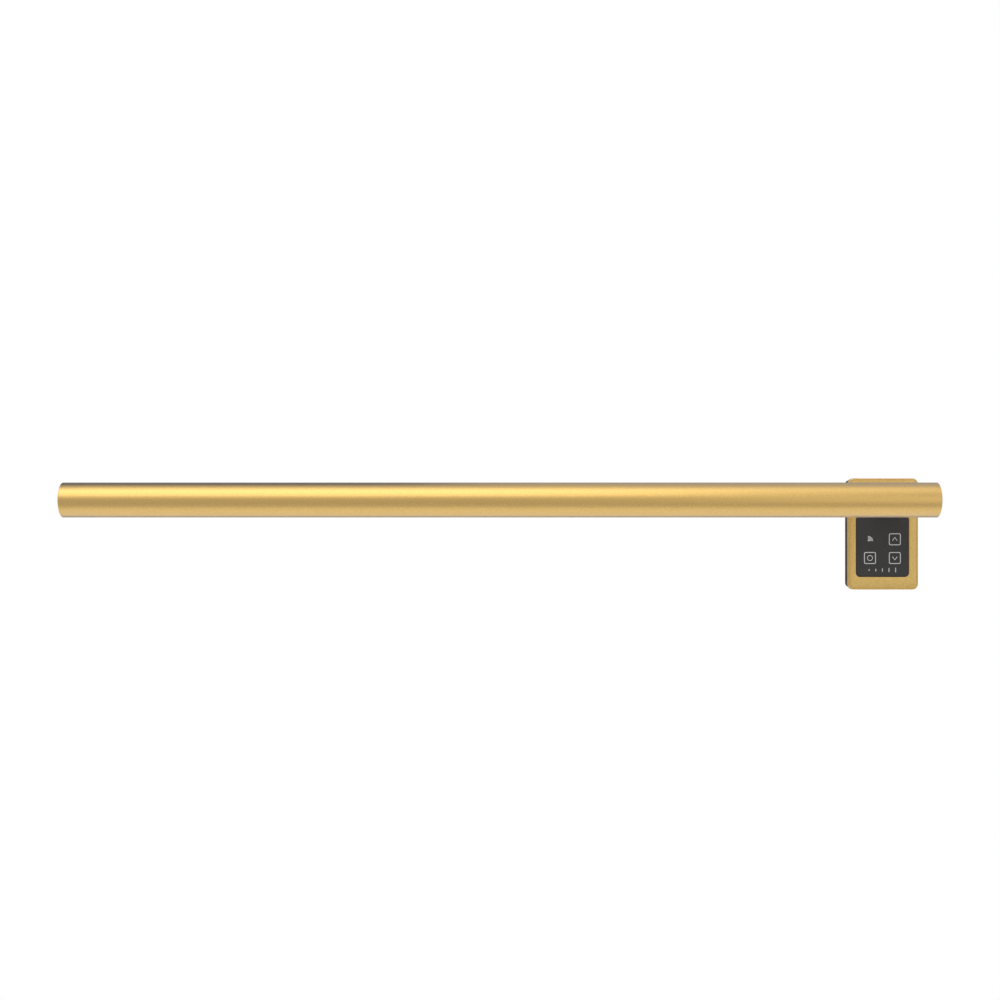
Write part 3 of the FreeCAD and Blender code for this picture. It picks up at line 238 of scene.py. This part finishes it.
def hard_coated_acrylic():
    """Acrylic under an etched hard coat: an even dark grey that shows almost no reflection.

    The etching is about 0.02 mm across, too fine to show, so its grain is drawn 1 mm across.
    """
    material, tree, shader, where = start_material("hard-coated matte black acrylic")
    etching = {"Vector": where, "Scale": per_mm(1.0), "Detail": 1.0}
    grain = add(tree, "TexNoise", etching).outputs["Fac"]
    etched = add(tree, "MapRange", {"Value": grain, "To Min": -0.4, "To Max": 1.4}).outputs["Result"]
    greys = {"Factor": etched, 6: linear("3d3d3d"), 7: linear("4c4c4c")}
    tint = add(tree, "Mix", greys, data_type="RGBA").outputs[2]
    rough = add(tree, "MapRange", {"Value": grain, "To Min": 0.66, "To Max": 0.74}).outputs["Result"]
    relief = {"Vector": where, "Scale": per_mm(0.2), "Detail": 1.0}
    height = add(tree, "TexNoise", relief).outputs["Fac"]
    bump = add(tree, "Bump", {"Height": height, "Distance": 0.005 * MM, "Strength": 0.3})
    fill(shader, {"Base Color": tint, "Roughness": rough, "Normal": bump.outputs[0]})
    fill(shader, {"IOR": 1.49, "Specular IOR Level": 0.25})
    return material


def screen_ink():
    """Screen-printed ink: opaque light grey, a little uneven from the mesh that it was pushed through.

    The mesh's threads are about 0.1 mm apart, too fine to show, so its pattern is drawn 0.25 mm across.
    """
    material, tree, shader, where = start_material("light grey screen ink")
    threads = {"Vector": where, "Scale": per_mm(0.25), "Detail": 1.0}
    mesh = add(tree, "TexNoise", threads).outputs["Fac"]
    greys = {"Factor": mesh, 6: linear("dbdddf"), 7: linear("eef0f2")}
    tint = add(tree, "Mix", greys, data_type="RGBA").outputs[2]
    rough = add(tree, "MapRange", {"Value": mesh, "To Min": 0.5, "To Max": 0.7}).outputs["Result"]
    bump = add(tree, "Bump", {"Height": mesh, "Distance": 0.01 * MM, "Strength": 0.3})
    fill(shader, {"Base Color": tint, "Roughness": rough, "Normal": bump.outputs[0]})
    return material


def moulded_rubber(name, dark, light):
    """Rubber or foam cured in a mould: matte, with a dusty bloom in 5 mm patches and a fine moulded skin."""
    material, tree, shader, where = start_material(name)
    dust = {"Vector": where, "Scale": per_mm(5.0), "Detail": 4.0}
    bloom = add(tree, "TexNoise", dust).outputs["Fac"]
    shades = {"Factor": bloom, 6: linear(dark), 7: linear(light)}
    tint = add(tree, "Mix", shades, data_type="RGBA").outputs[2]
    rough = add(tree, "MapRange", {"Value": bloom, "To Min": 0.62, "To Max": 0.8}).outputs["Result"]
    skin = {"Vector": where, "Scale": per_mm(0.4), "Detail": 3.0}
    height = add(tree, "TexNoise", skin).outputs["Fac"]
    bump = add(tree, "Bump", {"Height": height, "Distance": 0.04 * MM, "Strength": 0.4})
    fill(shader, {"Base Color": tint, "Roughness": rough, "Normal": bump.outputs[0]})
    return material


def machined_metal(name, dark, light, roughness, tool_mark):
    """Bare or plated metal as it leaves its machine: a cloudy colour and fine tool marks, sized in mm."""
    material, tree, shader, where = start_material(name)
    clouds = {"Vector": where, "Scale": per_mm(9.0), "Detail": 4.0}
    cloud = add(tree, "TexNoise", clouds).outputs["Fac"]
    tooling = {"Vector": where, "Scale": per_mm(tool_mark), "Detail": 3.0}
    marks = add(tree, "TexNoise", tooling).outputs["Fac"]
    shades = {"Factor": cloud, 6: linear(dark), 7: linear(light)}
    tint = add(tree, "Mix", shades, data_type="RGBA").outputs[2]
    worked = {"Value": marks, "To Min": roughness - 0.06, "To Max": roughness + 0.08}
    rough = add(tree, "MapRange", worked).outputs["Result"]
    bump = add(tree, "Bump", {"Height": marks, "Distance": 0.02 * MM, "Strength": 0.3})
    fill(shader, {"Base Color": tint, "Roughness": rough, "Metallic": 1.0, "Normal": bump.outputs[0]})
    return material


def moulded_plastic(name, dark, light, roughness):
    """Plastic or powder pressed in a mould: a near-even colour with faint flow marks 6 mm across."""
    material, tree, shader, where = start_material(name)
    marks = {"Vector": where, "Scale": per_mm(6.0), "Detail": 3.0}
    flow = add(tree, "TexNoise", marks).outputs["Fac"]
    shades = {"Factor": flow, 6: linear(dark), 7: linear(light)}
    tint = add(tree, "Mix", shades, data_type="RGBA").outputs[2]
    flowed = {"Value": flow, "To Min": roughness - 0.05, "To Max": roughness + 0.05}
    rough = add(tree, "MapRange", flowed).outputs["Result"]
    skin = {"Vector": where, "Scale": per_mm(0.6), "Detail": 2.0}
    height = add(tree, "TexNoise", skin).outputs["Fac"]
    bump = add(tree, "Bump", {"Height": height, "Distance": 0.02 * MM, "Strength": 0.3})
    fill(shader, {"Base Color": tint, "Roughness": rough, "Normal": bump.outputs[0]})
    return material


def circuit_board():
    """Glass fibre under green solder mask: the weave shows as a 0.6 mm check, copper as paler 4 mm cells."""
    material, tree, shader, where = start_material("green solder mask on glass fibre")
    weave = add(tree, "TexChecker", {"Vector": where, "Scale": per_mm(0.6)}).outputs["Fac"]
    cells = {"Vector": where, "Scale": per_mm(4.0)}
    edges = add(tree, "TexVoronoi", cells, feature="DISTANCE_TO_EDGE").outputs["Distance"]
    track = add(tree, "MapRange", {"Value": edges, "To Min": 1.0, "To Max": 0.0}).outputs["Result"]
    woven = add(tree, "MapRange", {"Value": weave, "To Min": 0.0, "To Max": 0.25}).outputs["Result"]
    greens = {"Factor": woven, 6: linear("0f4a26"), 7: linear("1b6a3a")}
    mask = add(tree, "Mix", greens, data_type="RGBA").outputs[2]
    covered = add(tree, "MapRange", {"Value": track, "To Min": 0.0, "To Max": 0.5}).outputs["Result"]
    over_copper = {"Factor": covered, 6: mask, 7: linear("2c7f48")}
    tint = add(tree, "Mix", over_copper, data_type="RGBA").outputs[2]
    pooling = {"Vector": where, "Scale": per_mm(3.0), "Detail": 2.0}
    pooled = add(tree, "TexNoise", pooling).outputs["Fac"]
    rough = add(tree, "MapRange", {"Value": pooled, "To Min": 0.25, "To Max": 0.4}).outputs["Result"]
    bump = add(tree, "Bump", {"Height": weave, "Distance": 0.01 * MM, "Strength": 0.2})
    fill(shader, {"Base Color": tint, "Roughness": rough, "Normal": bump.outputs[0]})
    return material


# The gold coat's deep, pale and cloudy tints. It comes out a touch greener on the casting than on the tube
STEEL_TINTS = ("dcac55", "f9d172", "ebc263")
CASTING_TINTS = ("deb258", "fbd877", "edc767")

# Each of the record's material slots, with its finish
MATERIALS = {
    "brushed_gold_steel": satin_gold("satin gold-coated stainless steel", STEEL_TINTS, 0.36, 0.58),
    "satin_gold_cover": satin_gold("satin gold-coated cast aluminium", CASTING_TINTS, 0.5, 0.72),
    "black_housing": spark_eroded_black(),
    "touch_panel_black": hard_coated_acrylic(),
    "print_grey": screen_ink(),
    "black_rubber": moulded_rubber("moulded black EPDM rubber", "141413", "22211f"),
    "stainless_steel": machined_metal("turned stainless steel", "b4b2ad", "cfcdc8", 0.28, 0.3),
    "zinc_plated_steel": machined_metal("bright zinc-plated steel", "a9adb2", "c9ccd0", 0.32, 0.4),
    "plain_aluminium": machined_metal("extruded aluminium", "c2c3c5", "dcdde0", 0.35, 0.5),
    "brass_parts": machined_metal("turned brass", "b08a45", "cfa95e", 0.26, 0.3),
    "magnesia": moulded_plastic("compacted magnesia", "cfcabd", "e2ddd0", 0.85),
    "silicone_white": moulded_rubber("white silicone rubber", "cfcfca", "e4e4df"),
    "board_green": circuit_board(),
    "black_chip": moulded_plastic("black moulded epoxy", "1b1b1c", "2a2a2b", 0.5),
    "terminal_grey": moulded_plastic("grey polyamide", "9ea3a5", "b4b9bb", 0.45),
    "white_plastic": moulded_plastic("white polycarbonate", "e2e2de", "efefec", 0.3),
    "foam_grey": moulded_rubber("conducting foam", "4a4a4c", "606063"),
    "lead_insulation": moulded_rubber("red-brown silicone insulation", "7c2f22", "8f3b2b"),
}


# ---------------------------------------------------------------- mesh tools


def piece_from(name, mesh_data, slot_name, cad_node, smooth_angle=35):
    """Turns a bmesh into a piece that stands for a CAD node, finished from one of the record's slots."""
    mesh = bpy.data.meshes.new(name)
    bmesh.ops.recalc_face_normals(mesh_data, faces=mesh_data.faces)
    mesh_data.to_mesh(mesh)
    mesh_data.free()
    mesh.materials.append(MATERIALS[slot_name])
    mesh.shade_smooth()
    mesh.set_sharp_from_angle(angle=math.radians(smooth_angle))
    piece = bpy.data.objects.new(name, mesh)
    bpy.context.scene.collection.objects.link(piece)
    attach(piece, "root")
    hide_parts(cad_node)


def ring_of(mesh_data, points):
    """A closed ring's vertices, not yet joined to anything."""
    return [mesh_data.verts.new(point) for point in points]


def join_rings(mesh_data, rings, closed=False):
    """Quads between each ring and the next, and from the last to the first if closed."""
    pairs = list(zip(rings, rings[1:]))
    if closed:
        pairs.append((rings[-1], rings[0]))
    for ring, following in pairs:
        count = len(ring)
        for i in range(count):
            j = (i + 1) % count
            mesh_data.faces.new((ring[i], ring[j], following[j], following[i]))


def turn_angles(steps):
    """Angles, in radians, that divide a full turn into steps."""
    return [2 * math.pi * i / steps for i in range(steps)]


def arc(radius, start, stop, steps):
    """Offsets (along, up) of points on an arc about its centre, from angle start to stop in degrees."""
    angles = [math.radians(start + (stop - start) * i / steps) for i in range(steps + 1)]
    return [(radius * math.cos(angle), radius * math.sin(angle)) for angle in angles]


def turned(mesh_data, profile, centre, axis, steps, closed=True):
    """Sweeps a profile of (along, radius) round an axis through centre."""
    turn = Vector((1, 0, 0)).rotation_difference(Vector(axis)).to_matrix().to_4x4()
    place = Matrix.Translation(centre) @ turn
    rings = []
    for along, radius in profile:
        around = [(radius * math.cos(angle), radius * math.sin(angle)) for angle in turn_angles(steps)]
        rings.append(ring_of(mesh_data, [place @ Vector((along, *across)) for across in around]))
    join_rings(mesh_data, rings, closed)
    return rings


def inset_outline(low, high, corner, inset, y, corner_steps=16):
    """Points in the plane at y round a box's front, inset all round. Its corners shrink as it does."""
    radius = corner - inset
    left, right = low.x + inset + radius, high.x - inset - radius
    bottom, top = low.z + inset + radius, high.z - inset - radius
    points = []
    for x, z, start in ((right, top, 0), (left, top, 90), (left, bottom, 180), (right, bottom, 270)):
        corner_arc = arc(radius, start, start + 90, corner_steps)
        points += [Vector((x + along, y, z + up)) for along, up in corner_arc]
    return points


def fill_between(mesh_data, *loops):
    """A flat face bounded by loops of vertices, the first one outermost."""
    edges = []
    for loop in loops:
        for first, second in zip(loop, loop[1:] + loop[:1]):
            edges.append(mesh_data.edges.get((first, second)) or mesh_data.edges.new((first, second)))
    bmesh.ops.triangle_fill(mesh_data, use_beauty=True, use_dissolve=False, edges=edges)


# ---------------------------------------------------------------- bar


def make_bar():
    """The tube, rounded at both rims outside and chamfered inside."""
    length = BAR_RIGHT - BAR_LEFT
    inner_radius = BAR_RADIUS - BAR_WALL
    stations = 24
    shoulder = BAR_RADIUS - RIM_ROUNDING
    near = [(RIM_ROUNDING - along, shoulder + up) for along, up in arc(RIM_ROUNDING, 0, 90, 6)]
    straight_length = length - 2 * RIM_ROUNDING
    straight = [(RIM_ROUNDING + straight_length * i / stations, BAR_RADIUS) for i in range(1, stations)]
    far = [(length - along, radius) for along, radius in reversed(near)]
    inside = [(length, inner_radius + RIM_CHAMFER), (length - RIM_CHAMFER, inner_radius)]
    inside += [(RIM_CHAMFER, inner_radius), (0, inner_radius + RIM_CHAMFER)]
    mesh_data = bmesh.new()
    start = Vector((BAR_LEFT, BAR_AXIS.y, BAR_AXIS.z))
    turned(mesh_data, near + straight + far + inside, start, (1, 0, 0), steps=256)
    piece_from("towel_bar_tube", mesh_data, "brushed_gold_steel", "bar_tube")


def make_end_cap(node, outward):
    """A pressed-in plug. Outward is -1 at the bar's left end and 1 at its right end."""
    low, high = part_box(node)
    radius = (high.z - low.z) / 2
    depth = high.x - low.x
    face = Vector((high.x if outward > 0 else low.x, BAR_AXIS.y, BAR_AXIS.z))
    profile = [(depth, 0.0), (depth, radius - CAP_BACK_INSET), (depth, radius)]
    profile += [(CAP_CHAMFER, radius), (0, radius - CAP_CHAMFER)]
    profile += [(DISH_DEPTH * (1 - (ring / DISH_RADIUS) ** 2), ring) for ring in DISH_RINGS]
    mesh_data = bmesh.new()
    rings = turned(mesh_data, profile, face, (-outward, 0, 0), steps=192, closed=False)
    bmesh.ops.remove_doubles(mesh_data, verts=rings[0] + rings[-1], dist=1e-7)
    piece_from(f"{node}_plug", mesh_data, "brushed_gold_steel", node)


# ---------------------------------------------------------------- posts


def make_left_post():
    """A turned post: its nose follows the bar, its foot is slightly rounded, and it has a plain bore."""
    low, high = left_post_low, left_post_high
    centre_x = (low.x + high.x) / 2
    around = turn_angles(160)
    saddle = BAR_RADIUS + SADDLE_GAP

    def nose_ring(radius, out):
        """A ring that lies on the bar, moved out from it towards the wall."""
        heights = [radius * math.sin(angle) for angle in around]
        depths = [BAR_AXIS.y + math.sqrt(saddle**2 - z**2) + out for z in heights]
        across = [centre_x + radius * math.cos(angle) for angle in around]
        return [Vector(point) for point in zip(across, depths, heights)]

    def ring(radius, y):
        """A flat ring round the post's axis."""
        offsets = [(radius * math.cos(angle), radius * math.sin(angle)) for angle in around]
        return [Vector((centre_x + across, y, up)) for across, up in offsets]

    inner, outer, edge = POST_BORE, POST_RADIUS, POST_NOSE_EDGE
    rings = [nose_ring(inner, 0), nose_ring(outer - edge, 0), nose_ring(outer, edge)]
    shaft_shares = (0.35, 0.55, 0.75, 0.9)
    rings += [ring(outer, low.y + (high.y - low.y) * share) for share in shaft_shares]
    foot = POST_FOOT_ROUNDING
    rings += [ring(outer - foot + along, high.y - foot + up) for along, up in reversed(arc(foot, 0, 90, 5))]
    rings += [ring(inner + POST_BORE_CHAMFER, high.y), ring(inner, high.y - POST_BORE_CHAMFER)]
    mesh_data = bmesh.new()
    join_rings(mesh_data, [ring_of(mesh_data, points) for points in rings], closed=True)
    piece_from("left_post_turned", mesh_data, "brushed_gold_steel", "left_post")


# ---------------------------------------------------------------- control box


def make_cover():
    """The cover: a rounded edge, a shallow groove inside it, the panel's seat and the post's hole."""
    front, back = COVER_FACE_Y, COVER_RIM_Y
    lip = OPENING_ROUNDING
    mesh_data = bmesh.new()

    def outline(inset, y):
        """A ring inside the cover's outline."""
        return ring_of(mesh_data, inset_outline(cover_low, cover_high, COVER_CORNER, inset, y))

    rings = [outline(COVER_WALL, front + COVER_THICKNESS), outline(COVER_WALL, back - COVER_RIM_BREAK)]
    rings += [outline(COVER_WALL - COVER_RIM_BREAK, back), outline(COVER_RIM_BREAK, back)]
    rings.append(outline(0, back - COVER_RIM_BREAK))
    rounding = COVER_ROUNDING
    rings += [outline(rounding - along, front + rounding - up) for along, up in arc(rounding, 0, 84, 12)]
    rings.append(outline(rounding + GROOVE_SLOPE, front + GROOVE_DEPTH))
    rings.append(outline(rounding + GROOVE_WIDTH - GROOVE_SLOPE, front + GROOVE_DEPTH))
    rings.append(outline(rounding + GROOVE_WIDTH, front + GROOVE_LIP_DEPTH))
    face = outline(rounding + GROOVE_WIDTH + GROOVE_LIP_WIDTH, front)
    join_rings(mesh_data, rings + [face])

    def opening(grow, y):
        """A ring round the panel, larger than it by grow."""
        return ring_of(mesh_data, inset_outline(panel_low, panel_high, PANEL_CORNER, -grow, y))

    seat = panel_high.y + SEAT_GAP
    edge = [opening(PANEL_GAP + lip - along, front + lip - up) for along, up in arc(lip, 0, 90, 4)][::-1]
    ledge = [opening(PANEL_GAP, seat), opening(-SEAT_WIDTH, seat)]
    ledge.append(opening(-SEAT_WIDTH, seat + SEAT_THICKNESS))
    join_rings(mesh_data, edge + ledge)

    centre_x = (right_post_low.x + right_post_high.x) / 2
    hole = POST_RADIUS + POST_HOLE_GAP
    around = turn_angles(96)

    def hole_ring(radius, y):
        """A ring round the post's axis."""
        points = [(centre_x + radius * math.cos(angle), y, radius * math.sin(angle)) for angle in around]
        return ring_of(mesh_data, points)

    collar = [hole_ring(hole + lip - along, front + lip - up) for along, up in arc(lip, 0, 90, 4)][::-1]
    collar.append(hole_ring(hole, front + COVER_THICKNESS))
    join_rings(mesh_data, collar)
    fill_between(mesh_data, face, edge[0], collar[0])
    piece_from("cover_shell", mesh_data, "satin_gold_cover", "front_cover", smooth_angle=40)


def make_panel():
    """The touch panel: a thin plate with a softly polished edge."""
    mesh_data = bmesh.new()

    def outline(inset, y):
        """A ring inside the panel's outline."""
        return ring_of(mesh_data, inset_outline(panel_low, panel_high, PANEL_CORNER, inset, y))

    rings = [outline(0, panel_high.y)]
    polished = arc(PANEL_EDGE, 0, 90, 5)
    rings += [outline(PANEL_EDGE - along, panel_low.y + PANEL_EDGE - up) for along, up in polished]
    join_rings(mesh_data, rings)
    mesh_data.faces.new(rings[0])
    mesh_data.faces.new(rings[-1])
    piece_from("touch_panel_plate", mesh_data, "touch_panel_black", "touch_panel", smooth_angle=50)


# ---------------------------------------------------------------- carried-over CAD nodes


def round_edges(node, width):
    """Rounds a node's sharp edges by width millimetres, once its faces are joined at their edges."""
    weld = node.modifiers.new("weld", "WELD")
    weld.merge_threshold = 0.002 * MM
    bevel = node.modifiers.new("soft_edges", "BEVEL")
    bevel.width = width * MM
    bevel.segments = 3
    bevel.limit_method = "ANGLE"
    bevel.angle_limit = math.radians(40)
    bevel.use_clamp_overlap = True
    bevel.harden_normals = True


def finish_cad_nodes():
    """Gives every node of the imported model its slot's material, and rounds the edges that show."""
    for entry in frame["record"]["subparts"]:
        node = frame["nodes"][entry["node"]]
        node.data.materials.clear()
        node.data.materials.append(MATERIALS[entry["material_slot"]])
    for name, width in ROUNDED_NODES.items():
        round_edges(frame["nodes"][name], width)


# ---------------------------------------------------------------- stage, light and camera


def rolled_white_paint():
    """Matt white paint from a roller: faintly mottled. It fades out towards the floor's edges."""
    material, tree, shader, where = start_material("white studio paint")
    mottling = {"Vector": where, "Scale": per_mm(12.0), "Detail": 3.0}
    mottle = add(tree, "TexNoise", mottling).outputs["Fac"]
    whites = {"Factor": mottle, 6: linear("f4f6f8"), 7: linear("f9fafb")}
    tint = add(tree, "Mix", whites, data_type="RGBA").outputs[2]
    stretch = (1 / FLOOR_HALF_WIDTH, 1 / FLOOR_HALF_DEPTH, 0)
    scaled = add(tree, "VectorMath", {0: where, 1: stretch}, operation="MULTIPLY").outputs[0]
    reach = add(tree, "VectorMath", {0: scaled}, operation="LENGTH").outputs["Value"]
    fade = {"Value": reach, "From Min": FLOOR_FADE_START, "From Max": 1.0, "To Min": 1.0, "To Max": 0.0}
    faded = add(tree, "MapRange", fade, interpolation_type="SMOOTHSTEP").outputs["Result"]
    fill(shader, {"Base Color": tint, "Roughness": 0.9, "Alpha": faded})
    fill(shader, {"Emission Color": linear("ffffff"), "Emission Strength": FLOOR_GLOW})
    return material


def make_floor():
    """A plain pale floor, well below the bar, that fades out into the white studio."""
    signs = ((-1, -1), (1, -1), (1, 1), (-1, 1))
    corners = [(x * FLOOR_HALF_WIDTH, y * FLOOR_HALF_DEPTH, FLOOR_Z) for x, y in signs]
    mesh = bpy.data.meshes.new("studio_floor")
    mesh.from_pydata(corners, [], [(0, 1, 2, 3)])
    mesh.materials.append(rolled_white_paint())
    floor = bpy.data.objects.new("studio_floor", mesh)
    bpy.context.scene.collection.objects.link(floor)


def make_softbox(name, place, width, height, radiance):
    """A rectangular studio light that faces the bar squarely, as bright as radiance all over."""
    lamp = bpy.data.lights.new(name, "AREA")
    lamp.shape = "RECTANGLE"
    lamp.size = width
    lamp.size_y = height
    lamp.energy = radiance * math.pi * width * height
    light = bpy.data.objects.new(name, lamp)
    light.location = place
    towards_bar = Vector((place[0], BAR_AXIS.y, BAR_AXIS.z)) - Vector(place)
    light.rotation_euler = towards_bar.to_track_quat("-Z", "Y").to_euler()
    light.visible_camera = False
    bpy.context.scene.collection.objects.link(light)


def make_world():
    """A white studio to look at, and a dimmer surround to light the object with."""
    world = bpy.data.worlds.new("studio")
    bpy.context.scene.world = world
    world.use_nodes = True
    tree = world.node_tree
    tree.nodes.clear()
    seen = add(tree, "Background", {"Color": linear("ffffff"), "Strength": 1.0}).outputs[0]
    direction = add(tree, "TexCoord", {}).outputs["Generated"]
    split = add(tree, "SeparateXYZ", {"Vector": direction})
    room = add(tree, "Math", {0: split.outputs["Y"], 1: -1.0}, operation="MULTIPLY").outputs[0]
    turn = add(tree, "Math", {0: split.outputs["Z"], 1: room}, operation="ARCTAN2").outputs[0]
    share = add(tree, "MapRange", {"Value": turn, "From Min": -math.pi, "From Max": math.pi})
    ramp = add(tree, "ValToRGB", {"Fac": share.outputs[0]})
    stops = ramp.color_ramp.elements
    for _ in SURROUND[2:]:
        stops.new(0.5)
    for stop, (degrees, brightness) in zip(stops, SURROUND):
        stop.position = (degrees + 180) / 360
        stop.color = (brightness, brightness, brightness, 1)
    lit = add(tree, "Background", {"Color": ramp.outputs["Color"], "Strength": 1.0}).outputs[0]
    camera_ray = add(tree, "LightPath", {}).outputs["Is Camera Ray"]
    mixed = add(tree, "MixShader", {0: camera_ray, 1: lit, 2: seen}).outputs[0]
    add(tree, "OutputWorld", {"Surface": mixed})


def make_camera():
    """A level 50 mm camera, square to the wall, in front of the middle of the bar."""
    lens = bpy.data.cameras.new("camera")
    lens.lens = 50
    lens.sensor_width = 36
    camera = bpy.data.objects.new("camera", lens)
    camera.location = (0, BAR_AXIS.y - CAMERA_DISTANCE, BAR_AXIS.z)
    camera.rotation_euler = (math.radians(90), 0, 0)
    bpy.context.scene.collection.objects.link(camera)
    bpy.context.scene.camera = camera


make_camera()
make_floor()
make_world()
make_softbox("key_light", place=(-0.72, -1.38, 1.51), width=2.35, height=1.95, radiance=1.05)
make_softbox("side_fill", place=(1.25, -1.6, 0.1), width=1.5, height=1.23, radiance=0.34)
make_softbox("rim_light", place=(0.55, 0.56, 0.8), width=1.3, height=0.85, radiance=0.37)
finish_cad_nodes()
make_bar()
make_end_cap("left_end_cap", -1)
make_end_cap("right_end_cap", 1)
make_left_post()
make_cover()
make_panel()

bpy.context.scene.view_settings.view_transform = "Standard"
